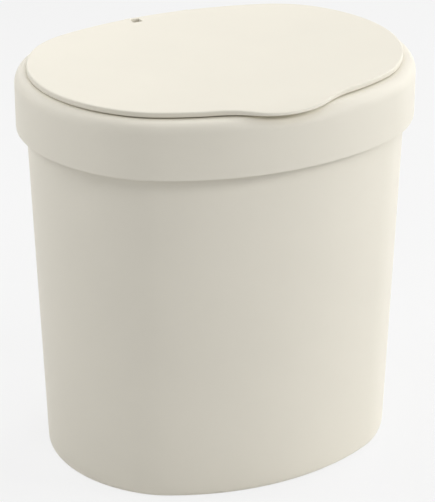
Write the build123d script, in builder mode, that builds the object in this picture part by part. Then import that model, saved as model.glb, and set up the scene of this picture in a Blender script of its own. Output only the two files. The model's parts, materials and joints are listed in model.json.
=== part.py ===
"""Push top countertop bin: a tapered oval tub, a lift-off collar, a hinged lid and a push-push catch.

Millimetres. +Z is up, the tab at the front of the lid points along -Y, and the origin is the middle of
the footprint on the worktop. Every plan outline is the collar's outline moved inward by an inset.
"""

from math import acos, cos, degrees, radians, sin, tan
import os

from build123d import *

os.makedirs("parts", exist_ok=True)

# ---------------------------------------------------------------- driving dimensions
# Collar outline in plan: each quarter is a side arc, a corner arc and an end arc, all tangent.
width = 220.0
depth = 174.0
widest_line = 4.3  # behind the middle
front_corner = 60.0
front_side_angle = 48.4
front_end_angle = 27.2
back_corner = 60.0
back_side_angle = 35.4
back_end_angle = 18.4

# Tub
tub_height = 205.0
tub_wall = 2.0
tub_floor = 2.2
tub_top_inset = 5.0
tub_draft = 1.935
tub_base_round = 3.0
tub_corner_chamfer = 1.6  # inside, round the floor
foot_height = 1.2
foot_width = 7.0
rim_thickness = 2.0
rim_chamfer = 0.7

# Collar
collar_rise = 15.4  # over the tub's rim
collar_height = 29.8
collar_wall = 2.2
collar_round = 6.5
collar_inner_chamfer = 2.5
flange_width = 21.0
lip_depth = 12.2
lip_wall = 2.0
lip_round = 1.5
rib_thickness = 1.6
rib_leg = 7.0  # below the tub's rim
rib_leg_width = 2.0
rib_angles = {False: (14.0, 40.0, 75.0), True: (14.0, 45.0, 76.0)}  # front and back quarters

# Lid
lid_gap = 1.2  # over the collar, for the push
lid_edge = 2.8
lid_plate = 1.8
lid_inset = 6.6
lid_skirt = 2.2
lid_edge_round = 0.9
tab_nose = 44.0
tab_flank = 62.0
tab_top_droop = 2.3
tab_top_start = 13.0  # where the top begins to curve, behind the tip
tab_low_droop = 1.9
tab_low_start = 9.5
slot_width = 5.5
slot_length = 5.6
slot_x = -14.0
slot_rear_bridge = 2.4
slot_round = 0.8

# Lid liner
liner_plate = 1.6
liner_skirt_depth = 9.1
liner_skirt_wall = 1.5
liner_rib_depth = 5.0
liner_rib_wall = 1.4
lid_boss_x = 58.0
lid_boss_front = -34.0
lid_boss_rear = 38.0
lid_boss_radius = 3.2
lid_boss_depth = 5.6
liner_middle_rib = 2.0  # Y of the cross rib between the bosses
liner_long_rib = 30.0  # X of the ribs from front to back
cup_wall = 1.4
cup_floor = 1.6
tongue_drop = 1.2  # the striker's base goes between the tongue and the plate
tongue_side = 1.0
tongue_ahead = 4.5

# Hinge
pin_radius = 1.2
hinge_back = 2.8  # axis to the inner face of the collar's rear wall
hinge_drop = 4.2  # axis below the collar's top
barrel_radius = 2.6
barrel_length = 6.5
barrel_inner_end = 13.1
pocket_half = 20.0
pocket_ahead = 4.1
pocket_below = 5.2
pocket_chamfer = 0.8
ear_length = 4.5
ear_end_wall = 1.6
heel_radius = 4.4
heel_angles = (-72.0, -50.0)
heel_spread = 8.0  # degrees, at its root
arm_front = 3.2  # ahead of the axis
arm_neck = 2.5
arm_top_drop = 0.3  # below the lid's top, at the root
arm_bend_drop = 2.9  # below the lid's top, half way round
arm_neck_rise = 0.6  # over the axis
retainer_thickness = 2.0
retainer_screw_pad = 6.4
retainer_ahead = 1.4  # ahead of the pocket's front
hinge_screw_x = 29.0
hinge_screw_ahead = 0.4  # ahead of the pocket's front
hinge_boss_radius = 3.2
pin_chamfer = 0.25

# Torsion spring on the hinge pin
torsion_wire = 0.9
torsion_radius = 2.0
torsion_pitch = 1.2
torsion_turns = 6
torsion_start = -11.9
torsion_start_angle = 60.0
torsion_leg = 9.2
torsion_end_rise = 0.5  # rear leg's end over the retainer's underside

# Catch
housing_setback = 8.35  # behind the tab's tip
housing_half_width = 11.0
housing_wall = 1.2
housing_height = 30.6
housing_corner = 1.0
housing_ear = 2.0
housing_ear_depth = 6.0
catch_notch_behind = 14.2
catch_notch_side = 1.6
mouth_plate = 2.8
mouth_half_width = 7.6
mouth_flare = 1.0
mouth_land = 1.2
cover_wall = 1.2
clip_rise = 1.5  # over the slider's foot
clip_height = 5.0
clip_reach = 5.0
clip_wall = 1.0
clip_window_rise = 1.4
clip_window_ahead = 2.8  # ahead of the housing's rear edge
clip_window_width = 1.6
clip_window_height = 2.2
nub_reach = 0.8
slider_half_width = 9.55
catch_travel = 6.0
slider_height = 16.0
slider_block = 4.3
front_plate = 1.6
rear_plate = 1.8
jaw_thickness = 4.4
jaw_pivot_x = 5.6
jaw_pivot_rise = 7.0
jaw_pin_radius = 0.8
jaw_boss_radius = 2.2
jaw_tip_drop = 3.4
jaw_inner_x = 3.8
jaw_outer_x = 6.1
jaw_shoulder_x = 7.1
jaw_corner = 0.6
hook_x = 1.95
hook_height = 2.5
hook_nose = 1.0  # upright face of the hook
hook_slope = 1.4
jaw_shoulder_drop = 2.0  # below the hook
striker_neck = 1.3
striker_head = 3.2
striker_head_height = 4.0
striker_lead = 1.0  # upright edge of the head
striker_depth = 4.0
striker_base = (13.0, 8.0)
saddle_half = 2.5
spring_seat_depth = 3.0
cam_wire = 0.9
cam_track_depth = 1.1
cam_rise = 3.6  # bottom of the track over the slider's foot
follower_rise = 1.6  # follower's lower end over the housing's floor
follower_offset = 0.6  # ahead of the cover
follower_hole_depth = 0.84
follower_bend = 0.495
cleft_play = 0.4  # travel past the latched place
track_half_width = 3.3
track_shoulder = 1.4  # over the cleft
track_foot = 3.2  # under the cleft
heart_right = 1.7
heart_left = 1.8
heart_foot = 2.0
catch_spring_wire = 0.6
catch_spring_radius = 2.5
catch_spring_turns = 4.5
catch_screw_x = 14.5
catch_boss_radius = 3.0
catch_boss_depth = 5.2

# Screws
screw_radius = 1.4
screw_head_radius = 2.7
screw_head_height = 2.0
screw_head_chamfer = 0.8
screw_roof = 0.8  # left over a blind screw hole
lid_screw_length = 5.5
hinge_screw_length = 7.5
catch_screw_length = 6.4

# Clearances
rim_clearance = 0.4
leg_clearance = 0.4
liner_clearance = 0.8
running_clearance = 0.05
pin_end_clearance = 0.4
slide_clearance = 0.25
slider_top_clearance = 0.4
slider_play = 0.35  # between the slider's front plate and the housing
follower_gap = 1.15  # between the slider and the cover, for the follower
jaw_clearance = 0.2
clip_clearance = 0.1
follower_end_clearance = 0.12
follower_tip_clearance = 0.2
cleft_clearance = 0.15
mouth_clearance = 1.0
hook_clearance = 0.3
saddle_clearance = 0.3
screw_clearance = 0.02
screw_hole_clearance = 0.2
seat_clearance = 0.2
retainer_clearance = 0.2
retainer_edge_clearance = 0.5
post_end_clearance = 0.6
post_side_clearance = 0.15
spring_clearance = 0.3

# Modelling
embed = 0.2  # how far a form runs into the one it is fused with
over = 1.0  # how far a cut runs past the face it opens
sliver = 0.01  # how far a cut runs past the face it ends at

# ---------------------------------------------------------------- derived places
half_width = width / 2
front_y = -depth / 2
rear_y = depth / 2
collar_top = tub_height + collar_rise
collar_low = collar_top - collar_height
flange_under = collar_top - collar_wall
lid_low = collar_top + lid_gap
lid_top = lid_low + lid_edge
plate_under = lid_top - lid_plate
tip_y = front_y
housing_front = tip_y + housing_setback
slider_front = housing_front + housing_wall + slider_play
jaw_slot = jaw_thickness + 2 * jaw_clearance
catch_y = slider_front + front_plate + jaw_slot / 2
slider_rear = catch_y + jaw_slot / 2 + rear_plate
housing_rear = slider_rear + follower_gap
tub_base_inset = tub_top_inset + tub_height * tan(radians(tub_draft))
hinge_y = rear_y - collar_wall - hinge_back
hinge_z = collar_top - hinge_drop
pocket_floor = hinge_z - pocket_below
pocket_front = hinge_y - pocket_ahead
hinge_screw_y = pocket_front - hinge_screw_ahead
hinge_screw_places = [(-hinge_screw_x, hinge_screw_y), (hinge_screw_x, hinge_screw_y)]
catch_screw_places = [(-catch_screw_x, catch_y), (catch_screw_x, catch_y)]
catch_boss_low = flange_under - catch_boss_depth
housing_top = flange_under
housing_low = housing_top - housing_height
mouth_half_depth = jaw_thickness / 2 + mouth_clearance
mouth_under = housing_top - mouth_plate
slider_top = mouth_under - catch_travel - slider_top_clearance
slider_low = slider_top - slider_height
jaw_pivot_z = slider_low + jaw_pivot_rise
jaw_top = collar_top - jaw_tip_drop
hook_low = jaw_top - hook_height
striker_shoulder = hook_low - hook_clearance
striker_low = striker_shoulder - striker_head_height


def quarter_radii(reach, corner, side_angle, end_angle):
    """Radii of the side arc and the end arc of one quarter of the outline."""
    side = radians(side_angle)
    end = radians(end_angle)
    lean = tan(end / 2)
    side_extra = (reach - corner - lean * (half_width - corner)) / (sin(side) - lean * (1 - cos(side)))
    end_extra = (half_width - corner - side_extra * (1 - cos(side))) / sin(end)
    return corner + side_extra, corner + end_extra


def quarter_arcs(to_back):
    """Centre, radius and angles of a quarter's three arcs, for the half at X > 0."""
    if to_back:
        reach, corner, side_angle, end_angle = rear_y - widest_line, back_corner, back_side_angle, back_end_angle
    else:
        reach, corner, side_angle, end_angle = (
            widest_line - front_y,
            front_corner,
            front_side_angle,
            front_end_angle,
        )
    side_radius, end_radius = quarter_radii(reach, corner, side_angle, end_angle)
    side = radians(side_angle)
    side_centre = (half_width - side_radius, 0.0)
    corner_centre = (
        side_centre[0] + (side_radius - corner) * cos(side),
        (side_radius - corner) * sin(side),
    )
    return (
        (side_centre, side_radius, 0.0, side_angle),
        (corner_centre, corner, side_angle, 90.0 - end_angle),
        ((0.0, reach - end_radius), end_radius, 90.0 - end_angle, 90.0),
    )


def outline_point(arc, angle, inset, to_right, to_back):
    """Point of the outline at an angle from the side towards the end of its quarter."""
    centre, radius, _, _ = arc
    x = centre[0] + (radius - inset) * cos(radians(angle))
    y = centre[1] + (radius - inset) * sin(radians(angle))
    return (x if to_right else -x, widest_line + (y if to_back else -y))


def draw_quarter(inset, to_right, to_back, last_angle=90.0):
    """Draw one quarter of the outline, in the current line, up to an angle of its end arc."""
    side_arc, corner_arc, end_arc = quarter_arcs(to_back)
    for arc, last in ((side_arc, side_arc[3]), (corner_arc, corner_arc[3]), (end_arc, last_angle)):
        angles = (arc[2], (arc[2] + last) / 2, last)
        ThreePointArc(*[outline_point(arc, angle, inset, to_right, to_back) for angle in angles])


def oval(inset):
    """Face inside the collar's outline moved inward by an inset."""
    with BuildSketch(Plane.XY) as outline:
        with BuildLine():
            for to_right in (True, False):
                for to_back in (True, False):
                    draw_quarter(inset, to_right, to_back)
        make_face()
    return outline.sketch


def rear_outline_y(x, inset):
    """Y of the outline's rear end arc at an X."""
    centre, radius, _, _ = quarter_arcs(True)[2]
    return widest_line + centre[1] + ((radius - inset) ** 2 - x**2) ** 0.5


def radial_plane(angle, to_right, to_back):
    """Plane across the band at an angle of a quarter: local x runs inward, local y up."""
    arc = next(a for a in quarter_arcs(to_back) if a[2] <= angle <= a[3])
    face_point = outline_point(arc, angle, 0, to_right, to_back)
    inner_point = outline_point(arc, angle, 1, to_right, to_back)
    inward = Vector(inner_point[0] - face_point[0], inner_point[1] - face_point[1], 0)
    return Plane(origin=(*face_point, 0), x_dir=inward, z_dir=inward.cross(Vector(0, 0, 1)))


def finish(builder, name):
    """Label a finished piece and write its file."""
    builder.part.label = name
    export_step(builder.part, f"parts/{name}.step")


# ---------------------------------------------------------------- tub
with BuildPart() as bin_body:
    with BuildSketch(Plane.XY.offset(tub_height)):
        add(oval(tub_top_inset))
    extrude(amount=-tub_height, taper=tub_draft)
    fillet(bin_body.faces().sort_by(Axis.Z)[0].edges(), tub_base_round)
    with BuildSketch(Plane.XY.offset(tub_height)):
        add(oval(tub_top_inset + tub_wall))
    extrude(amount=-(tub_height - foot_height - tub_floor), taper=tub_draft, mode=Mode.SUBTRACT)
    cavity_floor = bin_body.faces().filter_by(Axis.Z).sort_by(Axis.Z)[1]
    chamfer(cavity_floor.edges(), tub_corner_chamfer)
    with BuildSketch(Plane.XY.offset(tub_height - rim_thickness)):
        add(oval(collar_wall + rim_clearance))
        add(oval(tub_top_inset + tub_wall), mode=Mode.SUBTRACT)
    extrude(amount=rim_thickness)
    chamfer(bin_body.faces().sort_by(Axis.Z)[-1].outer_wire().edges(), rim_chamfer)
    with BuildSketch(Plane.XY):
        add(oval(tub_base_inset + foot_width))
    extrude(amount=foot_height, mode=Mode.SUBTRACT)

finish(bin_body, "bin_body")

# ---------------------------------------------------------------- collar
rib_seat_inset = tub_top_inset + tub_wall + leg_clearance
ear_end = pocket_half + ear_length + ear_end_wall

with BuildPart() as collar_blank:
    with BuildSketch(Plane.XY.offset(collar_low)):
        add(oval(0))
    extrude(amount=collar_height)
    fillet(collar_blank.faces().sort_by(Axis.Z)[-1].edges(), collar_round)

with BuildPart() as collar_core:
    with BuildSketch(Plane.XY.offset(collar_low)):
        add(oval(collar_wall))
    extrude(amount=collar_height - collar_wall)
    chamfer(collar_core.faces().sort_by(Axis.Z)[-1].edges(), collar_inner_chamfer)

with BuildPart() as hinge_block:
    with BuildSketch(Plane.XY.offset(pocket_floor)):
        with Locations((0, (pocket_front - collar_wall + rear_y) / 2)):
            Rectangle(2 * ear_end, rear_y - pocket_front + collar_wall)
    extrude(amount=collar_top - pocket_floor)
    add(collar_blank.part, mode=Mode.INTERSECT)

with BuildPart() as collar:
    add(collar_blank.part)
    add(collar_core.part, mode=Mode.SUBTRACT)
    with BuildSketch(Plane.XY.offset(flange_under - lip_depth)):
        add(oval(flange_width - lip_wall))
    extrude(amount=lip_depth)
    with BuildSketch(Plane.XY.offset(flange_under - lip_depth)):
        add(oval(flange_width))
    extrude(amount=lip_depth + collar_wall, mode=Mode.SUBTRACT)
    fillet(collar.faces().sort_by(Axis.Z)[-1].inner_wires()[0].edges(), lip_round)
    # Ribs: they stand on the tub's rim, and their legs reach down inside it.
    for to_back, angles in rib_angles.items():
        for angle in angles:
            for to_right in (True, False):
                with BuildSketch(radial_plane(angle, to_right, to_back)):
                    with BuildLine():
                        Polyline(
                            (collar_wall - embed, tub_height),
                            (collar_wall - embed, collar_top - collar_round),
                            (collar_round, flange_under + embed),
                            (flange_width - lip_wall / 2, flange_under + embed),
                            (flange_width - lip_wall / 2, flange_under - lip_depth + lip_wall),
                            (rib_seat_inset + rib_leg_width, tub_height - rib_leg),
                            (rib_seat_inset, tub_height - rib_leg),
                            (rib_seat_inset, tub_height),
                            close=True,
                        )
                    make_face()
                extrude(amount=rib_thickness / 2, both=True)
    # Hinge pocket between two ears, open at the top and the back.
    add(hinge_block.part)
    with BuildSketch(Plane.XY.offset(pocket_floor)):
        with Locations((0, (pocket_front + rear_y + over) / 2)):
            Rectangle(2 * pocket_half, rear_y + over - pocket_front)
    extrude(amount=collar_top - pocket_floor + over, mode=Mode.SUBTRACT)
    chamfer(
        collar.edges()
        .filter_by(Axis.X)
        .filter_by_position(Axis.Y, pocket_front - sliver, pocket_front + sliver)
        .sort_by(Axis.Z)[-1],
        pocket_chamfer,
    )
    # Seats for the pin's ends, open downwards.
    for side in (-1, 1):
        seat_x = side * (pocket_half + ear_length / 2)
        with BuildSketch(Plane.YZ.offset(seat_x)):
            with Locations((hinge_y, hinge_z)):
                Circle(pin_radius + running_clearance)
            with Locations((hinge_y, (hinge_z + pocket_floor) / 2)):
                Rectangle(2 * (pin_radius + running_clearance), hinge_z - pocket_floor)
        extrude(amount=ear_length / 2 + sliver, both=True, mode=Mode.SUBTRACT)
    # Bosses for the hinge screws and the catch screws.
    with BuildSketch(Plane.XY.offset(pocket_floor)):
        with Locations(*hinge_screw_places):
            Circle(hinge_boss_radius)
    extrude(amount=flange_under - pocket_floor + embed)
    with BuildSketch(Plane.XY.offset(catch_boss_low)):
        with Locations(*catch_screw_places):
            Circle(catch_boss_radius)
    extrude(amount=catch_boss_depth + embed)
    with BuildSketch(Plane.XY.offset(pocket_floor)):
        with Locations(*hinge_screw_places):
            Circle(screw_radius + screw_clearance)
    extrude(amount=flange_under - pocket_floor - screw_roof, mode=Mode.SUBTRACT)
    with BuildSketch(Plane.XY.offset(catch_boss_low)):
        with Locations(*catch_screw_places):
            Circle(screw_radius + screw_clearance)
    extrude(amount=catch_boss_depth - embed, mode=Mode.SUBTRACT)
    # Notch in the flange over the catch, and the gap in the lip that the catch stands in.
    notch_front = housing_front + seat_clearance
    notch_rear = catch_y + catch_notch_behind
    with BuildSketch(Plane.XY.offset(flange_under - lip_depth)):
        with Locations((0, (notch_front + notch_rear) / 2)):
            Rectangle(2 * (mouth_half_width + catch_notch_side), notch_rear - notch_front)
    extrude(amount=lip_depth + collar_wall + over, mode=Mode.SUBTRACT)
    with BuildSketch(Plane.XY.offset(flange_under - lip_depth - over)):
        with Locations((0, (housing_rear + notch_rear) / 2)):
            Rectangle(2 * (housing_half_width + slide_clearance), notch_rear - housing_rear + 2 * cover_wall)
    extrude(amount=lip_depth + over, mode=Mode.SUBTRACT)

finish(collar, "collar")

# ---------------------------------------------------------------- lid cover
front_end_centre, front_end_radius, _, _ = quarter_arcs(False)[2]
lid_front_radius = front_end_radius - lid_inset
lid_front_centre_y = widest_line - front_end_centre[1]
nose_centre_y = tip_y + tab_nose
centre_gap = lid_front_centre_y - nose_centre_y
flank_far = lid_front_radius + tab_flank
flank_near = tab_nose + tab_flank
flank_cos = (flank_far**2 + centre_gap**2 - flank_near**2) / (2 * flank_far * centre_gap)
flank_centre = Vector(flank_far * (1 - flank_cos**2) ** 0.5, lid_front_centre_y - flank_far * flank_cos)


def towards(start, end, distance):
    """Point at a distance from one point towards another."""
    return start + (end - start).normalized() * distance


lid_end_centre = Vector(0, lid_front_centre_y)
nose_centre = Vector(0, nose_centre_y)
tab_root = towards(lid_end_centre, flank_centre, lid_front_radius)
tab_turn = towards(nose_centre, flank_centre, tab_nose)
tab_root_angle = degrees(acos(tab_root.X / lid_front_radius))
flank_middle = towards(flank_centre, (tab_root + tab_turn) * 0.5, tab_flank)


def mirrored(point):
    return Vector(-point.X, point.Y)


slot_rear = rear_outline_y(slot_x, lid_inset) - slot_rear_bridge
lid_stock = lid_edge + tab_low_droop + over

with BuildPart() as lid_cover:
    with BuildSketch(Plane.XY.offset(lid_top - lid_stock)):
        with BuildLine():
            for to_right in (True, False):
                draw_quarter(lid_inset, to_right, True)
                draw_quarter(lid_inset, to_right, False, tab_root_angle)
            ThreePointArc(tab_root, flank_middle, tab_turn)
            ThreePointArc(tab_turn, Vector(0, tip_y), mirrored(tab_turn))
            ThreePointArc(mirrored(tab_turn), mirrored(flank_middle), mirrored(tab_root))
        make_face()
    extrude(amount=lid_stock)
    fillet(lid_cover.faces().sort_by(Axis.Z)[-1].edges(), lid_edge_round)
    # Side profile: flat, with the front bending down over the collar's rounded edge.
    top_radius = tab_top_start**2 / (2 * tab_top_droop)
    low_radius = tab_low_start**2 / (2 * tab_low_droop)
    with BuildSketch(Plane.YZ):
        with BuildLine():
            top_bend = RadiusArc(
                (tip_y + tab_top_start, lid_top),
                (tip_y - over, lid_top - (tab_top_start + over) ** 2 / (2 * top_radius)),
                -top_radius,
            )
            low_bend = RadiusArc(
                (tip_y + tab_low_start, lid_low),
                (tip_y - over, lid_low - (tab_low_start + over) ** 2 / (2 * low_radius)),
                -low_radius,
            )
            Line(top_bend @ 1, low_bend @ 1)
            Polyline(top_bend @ 0, (rear_y, lid_top), (rear_y, lid_low), low_bend @ 0)
        make_face()
    extrude(amount=width, both=True, mode=Mode.INTERSECT)
    with BuildSketch(Plane.XY.offset(lid_low - over)):
        add(oval(lid_inset + lid_skirt))
    extrude(amount=plate_under - lid_low + over, mode=Mode.SUBTRACT)
    # Bosses for the liner screws.
    boss_places = [(x, y) for x in (-lid_boss_x, lid_boss_x) for y in (lid_boss_front, lid_boss_rear)]
    with BuildSketch(Plane.XY.offset(plate_under - lid_boss_depth)):
        with Locations(*boss_places):
            Circle(lid_boss_radius)
    extrude(amount=lid_boss_depth + embed)
    with BuildSketch(Plane.XY.offset(plate_under - lid_boss_depth)):
        with Locations(*boss_places):
            Circle(screw_radius + screw_clearance)
    extrude(amount=lid_boss_depth, mode=Mode.SUBTRACT)
    # Hinge arms: a tongue off the rear edge, a barrel on the pin, and a heel that stops the lid.
    heel_low, heel_high = heel_angles
    hinge_axis = Vector(hinge_y, hinge_z)
    for side in (-1, 1):
        arm_x = side * (barrel_inner_end + barrel_length / 2)
        with BuildSketch(Plane.YZ.offset(arm_x)):
            with Locations((hinge_y, hinge_z)):
                Circle(barrel_radius)
            with BuildLine():
                arm_top = ThreePointArc(
                    (hinge_y - arm_front + lid_edge_round, lid_top - arm_top_drop),
                    (hinge_y + arm_neck / 2, lid_top - arm_bend_drop),
                    (hinge_y + arm_neck, hinge_z + arm_neck_rise),
                )
                Polyline(
                    arm_top @ 1,
                    (hinge_y, hinge_z),
                    (hinge_y - arm_neck, hinge_z + arm_neck_rise),
                    (hinge_y - arm_front, lid_low + embed),
                    (hinge_y - arm_front, lid_top - arm_top_drop),
                    arm_top @ 0,
                )
            make_face()
            with BuildLine():
                Polyline(
                    *[
                        hinge_axis + Vector(reach * cos(radians(angle)), reach * sin(radians(angle)))
                        for reach, angle in (
                            (barrel_radius - embed, heel_low - heel_spread),
                            (heel_radius, heel_low),
                            (heel_radius, heel_high),
                            (barrel_radius - embed, heel_high + heel_spread),
                        )
                    ],
                    close=True,
                )
            make_face()
            with Locations((hinge_y, hinge_z)):
                Circle(pin_radius + running_clearance, mode=Mode.SUBTRACT)
        extrude(amount=barrel_length / 2, both=True)
    # Slot near the rear edge, where the lid spring's leg is hooked.
    with BuildSketch(Plane.XY.offset(lid_low - over)):
        with Locations((slot_x, slot_rear - slot_length / 2)):
            RectangleRounded(slot_width, slot_length, slot_round)
    extrude(amount=lid_edge + 2 * over, mode=Mode.SUBTRACT)

finish(lid_cover, "lid_cover")

# ---------------------------------------------------------------- lid liner
liner_inset = flange_width + liner_clearance
tongue_half = mouth_half_width + tongue_side
tongue_top = plate_under - tongue_drop
tongue_end = catch_y - tongue_ahead
tongue_root = front_y + liner_inset + over
cup_low = plate_under - lid_boss_depth - cup_floor

with BuildPart() as lid_liner:
    with BuildSketch(Plane.XY.offset(plate_under - liner_plate)):
        add(oval(liner_inset))
    extrude(amount=liner_plate)
    with BuildSketch(Plane.XY.offset(plate_under - liner_skirt_depth)):
        add(oval(liner_inset))
        add(oval(liner_inset + liner_skirt_wall), mode=Mode.SUBTRACT)
    extrude(amount=liner_skirt_depth)
    # Stiffening ribs, trimmed to the skirt.
    with BuildSketch(Plane.XY.offset(plate_under - liner_plate - liner_rib_depth)):
        with Locations((-liner_long_rib, 0), (liner_long_rib, 0)):
            Rectangle(liner_rib_wall, depth)
        with Locations((0, lid_boss_front), (0, liner_middle_rib), (0, lid_boss_rear)):
            Rectangle(width, liner_rib_wall)
        add(oval(liner_inset + liner_skirt_wall / 2), mode=Mode.INTERSECT)
    extrude(amount=liner_rib_depth + embed)
    # Screw cups over the cover's bosses.
    with BuildSketch(Plane.XY.offset(cup_low)):
        with Locations(*boss_places):
            Circle(lid_boss_radius + seat_clearance + cup_wall)
    extrude(amount=plate_under - liner_plate - cup_low)
    with BuildSketch(Plane.XY.offset(cup_low + cup_floor)):
        with Locations(*boss_places):
            Circle(lid_boss_radius + seat_clearance)
    extrude(amount=lid_boss_depth + over, mode=Mode.SUBTRACT)
    with BuildSketch(Plane.XY.offset(cup_low - over)):
        with Locations(*boss_places):
            Circle(screw_radius + screw_hole_clearance)
    extrude(amount=cup_floor + 2 * over, mode=Mode.SUBTRACT)
    # Tongue under the front of the cover, which traps the striker's base.
    with BuildSketch(Plane.XY.offset(tongue_top - liner_plate)):
        with Locations((0, (tongue_end + tongue_root) / 2)):
            Rectangle(2 * tongue_half, tongue_root - tongue_end)
    extrude(amount=liner_plate)
    with BuildSketch(Plane.XY.offset(tongue_top - liner_plate)):
        with Locations((0, catch_y)):
            Rectangle(2 * (striker_head + slide_clearance), striker_depth + 2 * slide_clearance)
    extrude(amount=liner_plate, mode=Mode.SUBTRACT)

finish(lid_liner, "lid_liner")


def screw(places, head_low, shank_length):
    """Pan head screws, driven upwards."""
    with BuildPart() as screws:
        with BuildSketch(Plane.XY.offset(head_low)):
            with Locations(*places):
                Circle(screw_head_radius)
        extrude(amount=screw_head_height)
        chamfer(screws.edges().group_by(Axis.Z)[0], screw_head_chamfer)
        with BuildSketch(Plane.XY.offset(head_low + screw_head_height)):
            with Locations(*places):
                Circle(screw_radius)
        extrude(amount=shank_length)
    return screws


lid_screws = screw(boss_places, cup_low - screw_head_height, lid_screw_length)
finish(lid_screws, "lid_screws")

# ---------------------------------------------------------------- striker
with BuildPart() as striker:
    with BuildSketch(Plane.XY.offset(tongue_top)):
        with Locations((0, catch_y)):
            Rectangle(*striker_base)
    extrude(amount=plate_under - tongue_top)
    with BuildSketch(Plane.XY.offset(tongue_top - liner_plate)):
        with Locations((0, catch_y)):
            Rectangle(2 * striker_head, striker_depth)
    extrude(amount=liner_plate)
    with BuildSketch(Plane.XZ.offset(-catch_y)):
        with BuildLine():
            Polyline(
                (-striker_neck, tongue_top),
                (-striker_neck, striker_shoulder),
                (-striker_head, striker_shoulder),
                (-striker_head, striker_shoulder - striker_lead),
                (-striker_neck, striker_low),
                (striker_neck, striker_low),
                (striker_head, striker_shoulder - striker_lead),
                (striker_head, striker_shoulder),
                (striker_neck, striker_shoulder),
                (striker_neck, tongue_top),
                close=True,
            )
        make_face()
    extrude(amount=striker_depth / 2, both=True)

finish(striker, "striker")

# ---------------------------------------------------------------- hinge pin, retainer and spring
with BuildPart() as hinge_pin:
    with BuildSketch(Plane.YZ):
        with Locations((hinge_y, hinge_z)):
            Circle(pin_radius)
    extrude(amount=pocket_half + ear_length - pin_end_clearance, both=True)
    chamfer(hinge_pin.edges().filter_by(GeomType.CIRCLE), pin_chamfer)

finish(hinge_pin, "hinge_pin")

# The upper leg leaves the coil forwards; the rear leg points straight down, level with the axis.
hinge_line = Axis((0, hinge_y, hinge_z), (1, 0, 0))
torsion_length = torsion_pitch * (torsion_turns + torsion_start_angle / 360)
retainer_low = pocket_floor - retainer_thickness
retainer_front = pocket_front - retainer_ahead
retainer_rear = rear_y - retainer_clearance

with BuildPart() as torsion_spring:
    with BuildLine() as torsion_path:
        upright_coil = Helix(
            torsion_pitch,
            torsion_length,
            torsion_radius,
            center=(torsion_start, hinge_y, hinge_z),
            direction=(1, 0, 0),
            lefthand=True,
            mode=Mode.PRIVATE,
        )
        coil = upright_coil.rotate(hinge_line, torsion_start_angle - 90)
        add(coil)
        Line(coil @ 0 - (coil % 0) * torsion_leg, coil @ 0)
        rear_leg = Line(coil @ 1, coil @ 1 + (coil % 1) * (hinge_z - retainer_low - torsion_end_rise))
    with BuildSketch(torsion_path.line ^ 0):
        RegularPolygon(torsion_wire / 2, 6)
    sweep()

finish(torsion_spring, "torsion_spring")

with BuildPart() as hinge_retainer:
    with BuildSketch(Plane.XY.offset(retainer_low)):
        with Locations((0, (retainer_front + retainer_rear) / 2)):
            Rectangle(2 * (ear_end - retainer_clearance), retainer_rear - retainer_front)
        with Locations((0, hinge_screw_y)):
            Rectangle(2 * (hinge_screw_x + hinge_boss_radius), retainer_screw_pad)
        add(oval(collar_wall + retainer_edge_clearance), mode=Mode.INTERSECT)
    extrude(amount=retainer_thickness)
    # Posts that close the pin's seats from below.
    with BuildSketch(Plane.XY.offset(pocket_floor)):
        for side in (-1, 1):
            with Locations((side * (pocket_half + ear_length / 2), hinge_y)):
                Rectangle(ear_length - 2 * post_end_clearance, 2 * (pin_radius - post_side_clearance))
    extrude(amount=hinge_z - pin_radius - running_clearance - pocket_floor)
    # Screw holes, and the notch that the spring's rear leg stands in.
    with BuildSketch(Plane.XY.offset(retainer_low)):
        with Locations(*hinge_screw_places):
            Circle(screw_radius + screw_hole_clearance)
        with Locations(((rear_leg @ 1).X, (rear_leg @ 1).Y + over)):
            Rectangle(2 * torsion_wire, 2 * (torsion_wire + over))
    extrude(amount=retainer_thickness, mode=Mode.SUBTRACT)

finish(hinge_retainer, "hinge_retainer")

hinge_screws = screw(hinge_screw_places, retainer_low - screw_head_height, hinge_screw_length)
finish(hinge_screws, "hinge_screws")

# ---------------------------------------------------------------- catch housing and its cover
cavity_half = housing_half_width - housing_wall
clip_low = slider_low + clip_rise
clip_x = housing_half_width + clip_clearance + clip_wall / 2
clip_window_low = clip_low + clip_window_rise
clip_window_y = housing_rear - clip_window_ahead
ear_low = catch_boss_low - housing_ear
ear_out = catch_screw_x + catch_boss_radius

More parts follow.
